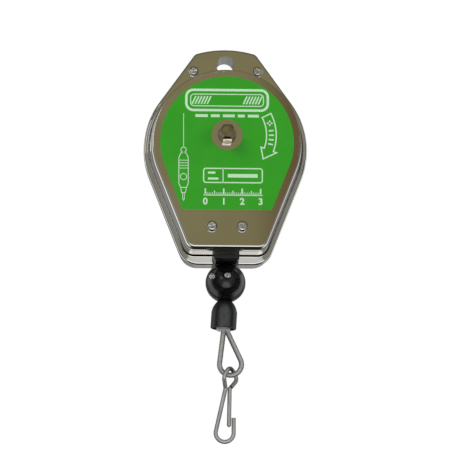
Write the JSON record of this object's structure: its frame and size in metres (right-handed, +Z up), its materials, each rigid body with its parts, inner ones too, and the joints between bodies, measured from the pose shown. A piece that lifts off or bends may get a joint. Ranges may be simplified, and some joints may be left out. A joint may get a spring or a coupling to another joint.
{
  "type": "tool balancer",
  "caption": "Spring balancer for a hand tool: drawn steel case with a hanging tab, sprung rope drum, stop ball, thimble and snap hook.",
  "frame": {"origin": "centre of the hanging bore in the plane of the case's flange", "axes": "+X right and +Y to the rear as seen from the labelled face, +Z up along the hanging rope"},
  "size_m": [0.0984, 0.0535, 0.2408],
  "materials": {
    "case_chrome": "polished",
    "label_green": "printed film",
    "zinc_screw": "bright zinc",
    "turned_steel": "turned",
    "bearing_bronze": "sintered",
    "guide_nylon": "moulded",
    "ball_black": "gloss",
    "cap_black": "satin gloss",
    "drum_nylon": "moulded",
    "spring_steel": "blued",
    "wire_rope": "stranded",
    "stainless_wire": "drawn",
    "hard_ceramic": "polished"
  },
  "bodies": {
    "case": {"front_cover": "case_chrome", "rear_case": "case_chrome", "face_label": "label_green", "hanger_tube": "zinc_screw", "tab_spacers": "turned_steel", "lower_spacers": "turned_steel", "tab_screws": "zinc_screw", "lower_screws": "zinc_screw", "rear_screws": "zinc_screw", "rope_guide": "guide_nylon", "guide_insert": "hard_ceramic", "front_bearing": "bearing_bronze", "rear_bearing": "bearing_bronze", "pawl_pins": "zinc_screw", "pawl_spring": "spring_steel", "rope_lead": "wire_rope"},
    "arbor": {"arbor": "turned_steel", "arbor_clip": "spring_steel", "ratchet_wheel": "turned_steel"},
    "pawl": {"pawl": "turned_steel"},
    "drum": {"drum": "drum_nylon", "spring_cover": "drum_nylon", "spring_cover_screws": "zinc_screw", "drum_bush_front": "bearing_bronze", "drum_bush_rear": "bearing_bronze", "mainspring": "spring_steel", "rope_winding": "wire_rope", "rope_anchor": "turned_steel"},
    "rope_end": {"rope_tail": "wire_rope", "rope_cap": "cap_black", "rope_ferrule": "turned_steel", "stopper_ball_front": "ball_black", "stopper_ball_rear": "ball_black", "stopper_screws": "zinc_screw", "thimble": "stainless_wire", "rope_eye": "wire_rope"},
    "hook": {"snap_hook": "stainless_wire"},
    "gate": {"hook_gate": "stainless_wire"}
  },
  "joints": [
    {"name": "drum_spin", "type": "hinge", "parent": "case", "child": "drum", "pos_m": [0, 0, -0.0478], "axis": [0, -1, 0], "range_deg": [0, 2340], "stiffness_Nm_per_rad": 0.0045, "springref_deg": -3151.27, "deforming": ["mainspring", "rope_winding"]},
    {"name": "rope_travel", "type": "slide", "parent": "case", "child": "rope_end", "axis": [0, 0, -1], "range_m": [0, 1.3], "deforming": ["rope_tail"]},
    {"name": "tension_turn", "type": "hinge", "parent": "case", "child": "arbor", "pos_m": [0, 0, -0.0478], "axis": [0, 1, 0], "range_deg": [0, 1440], "deforming": ["mainspring"]},
    {"name": "pawl_release", "type": "hinge", "parent": "case", "child": "pawl", "pos_m": [0.0152, 0.014, -0.0318], "axis": [0, -1, 0], "range_deg": [0, 16], "stiffness_Nm_per_rad": 0.02, "springref_deg": -17.19, "deforming": ["pawl_spring"]},
    {"name": "hook_swing", "type": "hinge", "parent": "rope_end", "child": "hook", "pos_m": [0.003, 0, -0.1901], "axis": [1, 0, 0], "range_deg": [-60, 60]},
    {"name": "gate_open", "type": "hinge", "parent": "hook", "child": "gate", "pos_m": [0.00252, 0.0006, -0.1978], "axis": [0, 1, 0], "range_deg": [0, 10], "stiffness_Nm_per_rad": 0.05, "springref_deg": -17.19}
  ],
  "couplings": [
    {"joint": "rope_travel", "follows": "drum_spin", "m_per_rad": 0.03175}
  ]
}
